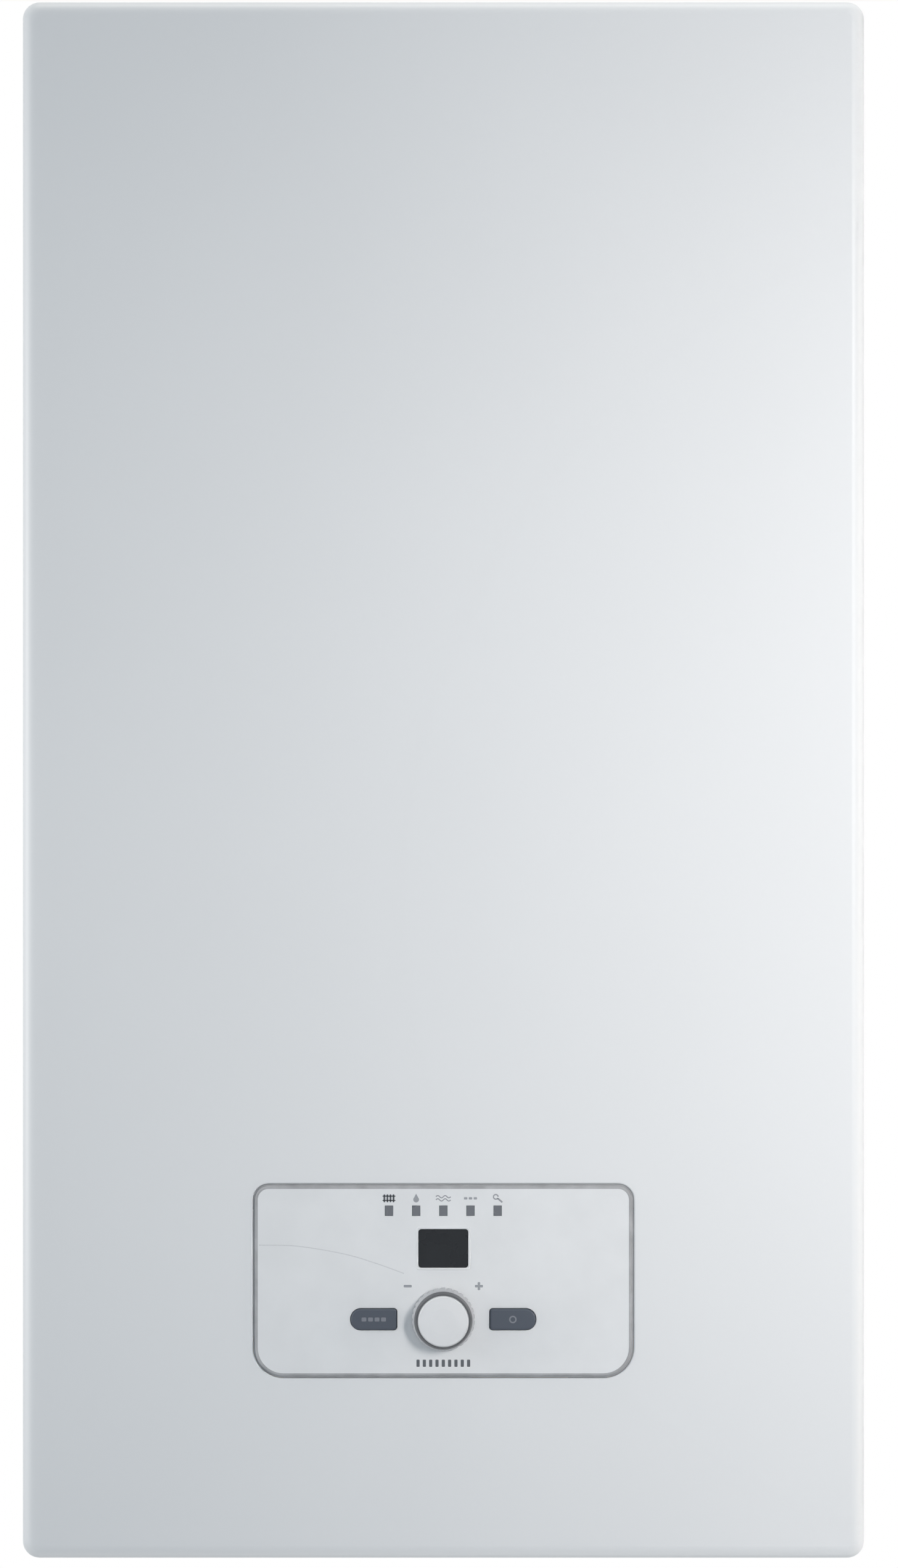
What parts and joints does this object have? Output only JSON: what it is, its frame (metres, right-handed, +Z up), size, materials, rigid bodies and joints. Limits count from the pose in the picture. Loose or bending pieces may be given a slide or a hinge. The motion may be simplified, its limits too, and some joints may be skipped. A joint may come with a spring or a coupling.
{
  "type": "wall-hung electric boiler",
  "caption": "Wall-hung electric heating boiler: tall white sheet-steel casing with a pull-off front cover and a low control panel, holding vessel, pump, valves and electrics.",
  "frame": {"origin": "middle of the two wall bracket holes, on the wall plane", "axes": "+Z up, +Y into the wall, the front looks along -Y"},
  "size_m": [0.4, 0.3251, 0.74],
  "materials": {
    "casing_white": "satin white powder coat",
    "galvanised": "galvanised sheet",
    "steel": "brushed stainless steel",
    "zinc": "bright zinc plate",
    "fascia_plastic": "fine moulded pale grey plastic",
    "housing_plastic": "dark moulded plastic",
    "button_plastic": "dark slate plastic",
    "grip_plastic": "grey grip plastic",
    "cap_plastic": "pale moulded plastic",
    "display_glass": "smoked display window",
    "lamp_lens": "smoked light guide",
    "circuit_board": "green solder mask",
    "vessel_blue": "grey enamelled steel",
    "insulation": "closed-cell foam",
    "gasket_rubber": "black sealing rubber",
    "copper_sheath": "copper",
    "brass": "machined brass",
    "tank_red": "red enamel",
    "pump_iron": "black cataphoretic cast iron",
    "motor_paint": "grey coated aluminium",
    "valve_red": "red moulded knob",
    "electro_plastic": "grey electrical plastic",
    "gland_plastic": "light grey polyamide",
    "lead_sleeve": "silicone insulated wire"
  },
  "bodies": {
    "casing": {"wall_bracket": "galvanised", "back_panel": "galvanised", "side_panel_left": "casing_white", "side_panel_right": "casing_white", "top_panel": "casing_white", "bottom_panel": "casing_white", "stud_clips": "gasket_rubber", "case_screws": "zinc", "control_support": "galvanised", "control_housing": "housing_plastic", "control_fascia": "fascia_plastic", "control_board": "circuit_board", "display_lens": "display_glass", "display_module": "housing_plastic", "indicator_lenses": "lamp_lens", "control_switches": "housing_plastic", "rotary_encoder": "steel", "boiler_vessel": "vessel_blue", "jacket_front": "insulation", "jacket_rear": "insulation", "tank_shelf": "galvanised", "flange_gasket": "gasket_rubber", "element_flange": "steel", "flange_bolts": "zinc", "heating_elements": "copper_sheath", "temperature_sensor": "brass", "air_vent_body": "brass", "pump_housing": "pump_iron", "pump_motor": "motor_paint", "return_manifold": "brass", "flow_manifold": "brass", "flow_pipe": "copper_sheath", "union_nuts": "brass", "expansion_vessel": "tank_red", "expansion_clips": "galvanised", "expansion_pipe": "copper_sheath", "relief_valve_body": "brass", "relief_drain_pipe": "copper_sheath", "drain_cock_body": "brass", "electrics_plate": "galvanised", "contactors": "electro_plastic", "main_board": "circuit_board", "terminal_block": "electro_plastic", "safety_cutout": "housing_plastic", "heater_leads": "lead_sleeve", "cable_glands": "gland_plastic"},
    "cover": {"front_cover": "casing_white", "cover_studs": "zinc"},
    "knob": {"knob_grip": "grip_plastic", "knob_cap": "cap_plastic", "encoder_shaft": "steel"},
    "mode_button": {"mode_button": "button_plastic"},
    "info_button": {"info_button": "button_plastic"},
    "air_vent_cap": {"air_vent_cap": "brass"},
    "pump_rotor": {"pump_rotor": "steel"},
    "relief_cap": {"relief_valve_cap": "valve_red"},
    "relief_disc": {"relief_valve_disc": "steel"},
    "drain_handle": {"drain_cock_handle": "housing_plastic"},
    "reset_button": {"cutout_button": "valve_red"}
  },
  "joints": [
    {"name": "cover_pull", "type": "slide", "parent": "casing", "child": "cover", "axis": [0, -1, 0], "range_m": [0, 0.35]},
    {"name": "knob_turn", "type": "hinge", "parent": "casing", "child": "knob", "pos_m": [0, -0.31, -0.564], "axis": [0, 1, 0], "continuous": true},
    {"name": "mode_press", "type": "slide", "parent": "casing", "child": "mode_button", "axis": [0, 1, 0], "range_m": [0, 0.0012], "stiffness_N_per_m": 700},
    {"name": "info_press", "type": "slide", "parent": "casing", "child": "info_button", "axis": [0, 1, 0], "range_m": [0, 0.0012], "stiffness_N_per_m": 700},
    {"name": "vent_cap_turn", "type": "hinge", "parent": "casing", "child": "air_vent_cap", "pos_m": [-0.09901, -0.194, 0], "axis": [0, 0, 1], "range_deg": [0, 360]},
    {"name": "pump_spin", "type": "hinge", "parent": "casing", "child": "pump_rotor", "pos_m": [-0.09901, -0.194, -0.5258], "axis": [1, 0, 0], "continuous": true},
    {"name": "relief_turn", "type": "hinge", "parent": "casing", "child": "relief_cap", "pos_m": [0.10615, -0.194, -0.558], "axis": [0, 0, 1], "range_deg": [0, 90]},
    {"name": "relief_lift", "type": "slide", "parent": "casing", "child": "relief_disc", "axis": [0, 0, 1], "range_m": [0, 0.002]},
    {"name": "drain_turn", "type": "hinge", "parent": "casing", "child": "drain_handle", "pos_m": [-0.14501, -0.194, -0.648], "axis": [0, -1, 0], "range_deg": [0, 90]},
    {"name": "reset_press", "type": "slide", "parent": "casing", "child": "reset_button", "axis": [0, 1, 0], "range_m": [0, 0.002], "stiffness_N_per_m": 700}
  ],
  "couplings": [
    {"joint": "relief_lift", "follows": "relief_turn", "m_per_rad": 0.001272}
  ]
}
